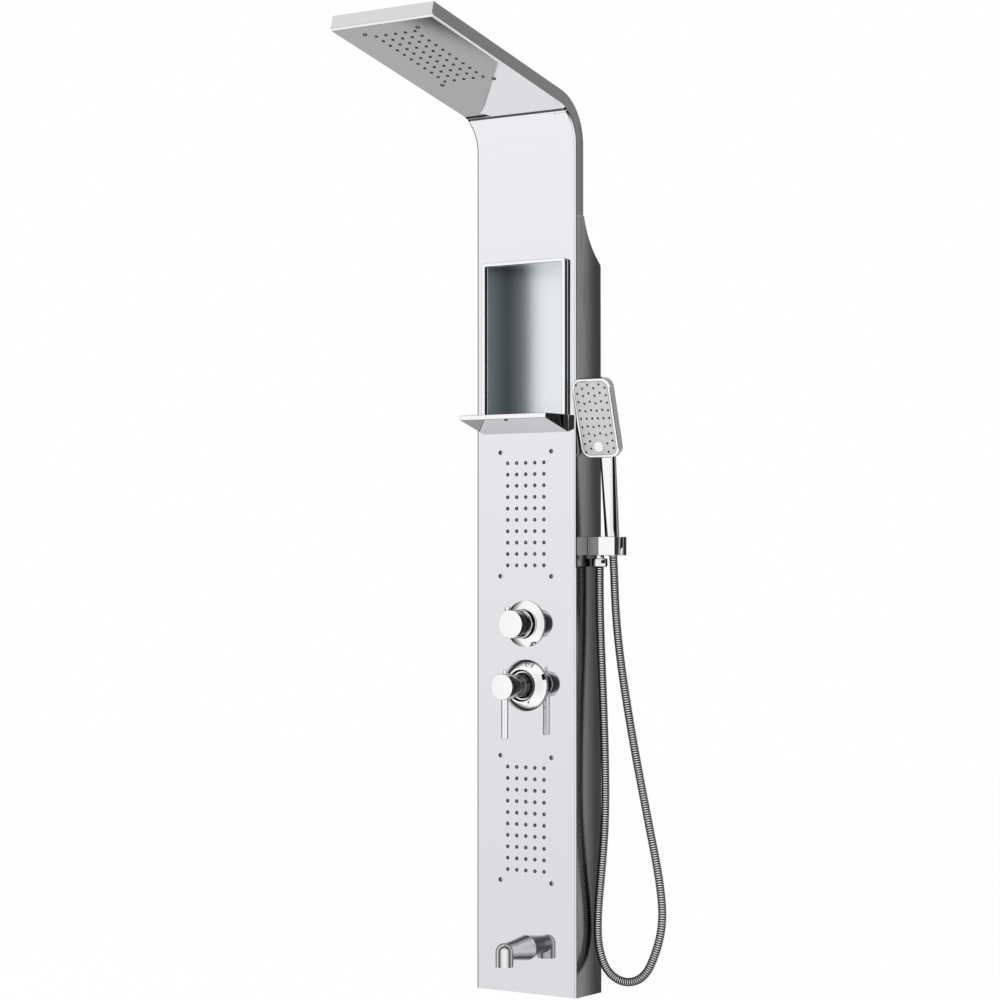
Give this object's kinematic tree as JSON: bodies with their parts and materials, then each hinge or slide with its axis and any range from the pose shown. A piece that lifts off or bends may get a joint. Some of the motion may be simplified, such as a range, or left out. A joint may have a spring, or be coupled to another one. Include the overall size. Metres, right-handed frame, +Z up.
{
  "type": "shower panel column",
  "caption": "Wall-hung steel shower column with a leaning rain head, waterfall slot, niche, body jets, diverter, lever mixer, tub spout and a hand shower on a hose.",
  "frame": {"origin": "centre of the upper wall bracket's two screw holes, on the wall plane", "axes": "+Z up along the column, +Y into the wall, +X toward the hand shower"},
  "size_m": [0.3419, 0.4855, 1.5835],
  "materials": {
    "polished_steel": "mirror polished stainless steel sheet",
    "brushed_steel": "fine brushed stainless steel sheet",
    "chrome": "bright polished chrome",
    "screw_steel": "turned stainless steel",
    "jet_rubber": "matte dark silicone rubber",
    "grey_plastic": "moulded grey plastic",
    "face_plastic": "satin pale grey plastic",
    "cast_brass": "machined raw brass",
    "pipe_steel": "drawn stainless steel tube",
    "bracket_steel": "zinc grey painted steel"
  },
  "bodies": {
    "column": {"front_panel": "polished_steel", "neck_cover": "polished_steel", "bottom_cap": "polished_steel", "head_plate": "polished_steel", "niche_frame": "polished_steel", "niche_shelf": "polished_steel", "niche_box": "brushed_steel", "diverter_escutcheon": "chrome", "mixer_escutcheon": "chrome", "mixer_shroud": "chrome", "spout": "chrome", "handset_holder": "chrome", "hose_outlet_nipple": "chrome", "hose_nut": "chrome", "shower_hose": "chrome", "head_screws": "screw_steel", "upper_jet_screws": "screw_steel", "lower_jet_screws": "screw_steel", "head_nozzle_mat": "jet_rubber", "upper_jet_mat": "jet_rubber", "lower_jet_mat": "jet_rubber", "head_water_chamber": "grey_plastic", "upper_jet_chamber": "grey_plastic", "lower_jet_chamber": "grey_plastic", "diverter_cartridge": "grey_plastic", "mixer_cartridge": "grey_plastic", "diverter_valve_body": "cast_brass", "mixer_valve_body": "cast_brass", "diverter_locknut": "cast_brass", "mixer_locknut": "cast_brass", "spout_nipple": "cast_brass", "spout_locknut": "cast_brass", "holder_locknut": "cast_brass", "spout_aerator": "cast_brass", "waterfall_duct": "pipe_steel", "head_feed_pipe": "pipe_steel", "waterfall_pipe": "pipe_steel", "upper_jet_pipe": "pipe_steel", "lower_jet_pipe": "pipe_steel", "spout_pipe": "pipe_steel", "hand_outlet_pipe": "pipe_steel", "valve_link_pipe": "pipe_steel", "wall_brackets": "bracket_steel", "hanger_rails": "bracket_steel"},
    "diverter_control": {"diverter_knob": "chrome", "diverter_pointer": "chrome", "diverter_spindle": "cast_brass", "diverter_grub_screw": "screw_steel"},
    "mixer_swivel": {"mixer_carrier": "grey_plastic"},
    "mixer_lever": {"mixer_stem": "screw_steel", "mixer_handle": "chrome", "mixer_lever_rod": "chrome", "mixer_index_pin": "chrome", "mixer_grub_screw": "screw_steel"},
    "hand_shower": {"handset_body": "chrome", "handset_face": "face_plastic", "handset_nozzles": "jet_rubber", "handset_cone_nut": "chrome", "handset_button_spring": "screw_steel"},
    "spray_button": {"handset_button": "face_plastic"}
  },
  "joints": [
    {"name": "diverter_turn", "type": "hinge", "parent": "column", "child": "diverter_control", "pos_m": [0, -0.08, -0.504], "axis": [0, 1, 0], "continuous": true},
    {"name": "mixer_turn", "type": "hinge", "parent": "column", "child": "mixer_swivel", "pos_m": [0, -0.1, -0.607], "axis": [0, 1, 0], "range_deg": [-45, 45]},
    {"name": "mixer_lift", "type": "hinge", "parent": "mixer_swivel", "child": "mixer_lever", "pos_m": [0, -0.1, -0.607], "axis": [-1, 0, 0], "range_deg": [0, 20]},
    {"name": "hand_shower_lift", "type": "slide", "parent": "column", "child": "hand_shower", "axis": [0, -0.0958, 0.9954], "range_m": [0, 0.06]},
    {"name": "spray_button_press", "type": "slide", "parent": "hand_shower", "child": "spray_button", "axis": [0, 0.9617, 0.274], "range_m": [0, 0.0025], "stiffness_N_per_m": 400, "springref_m": -0.003, "deforming": ["handset_button_spring"]}
  ]
}
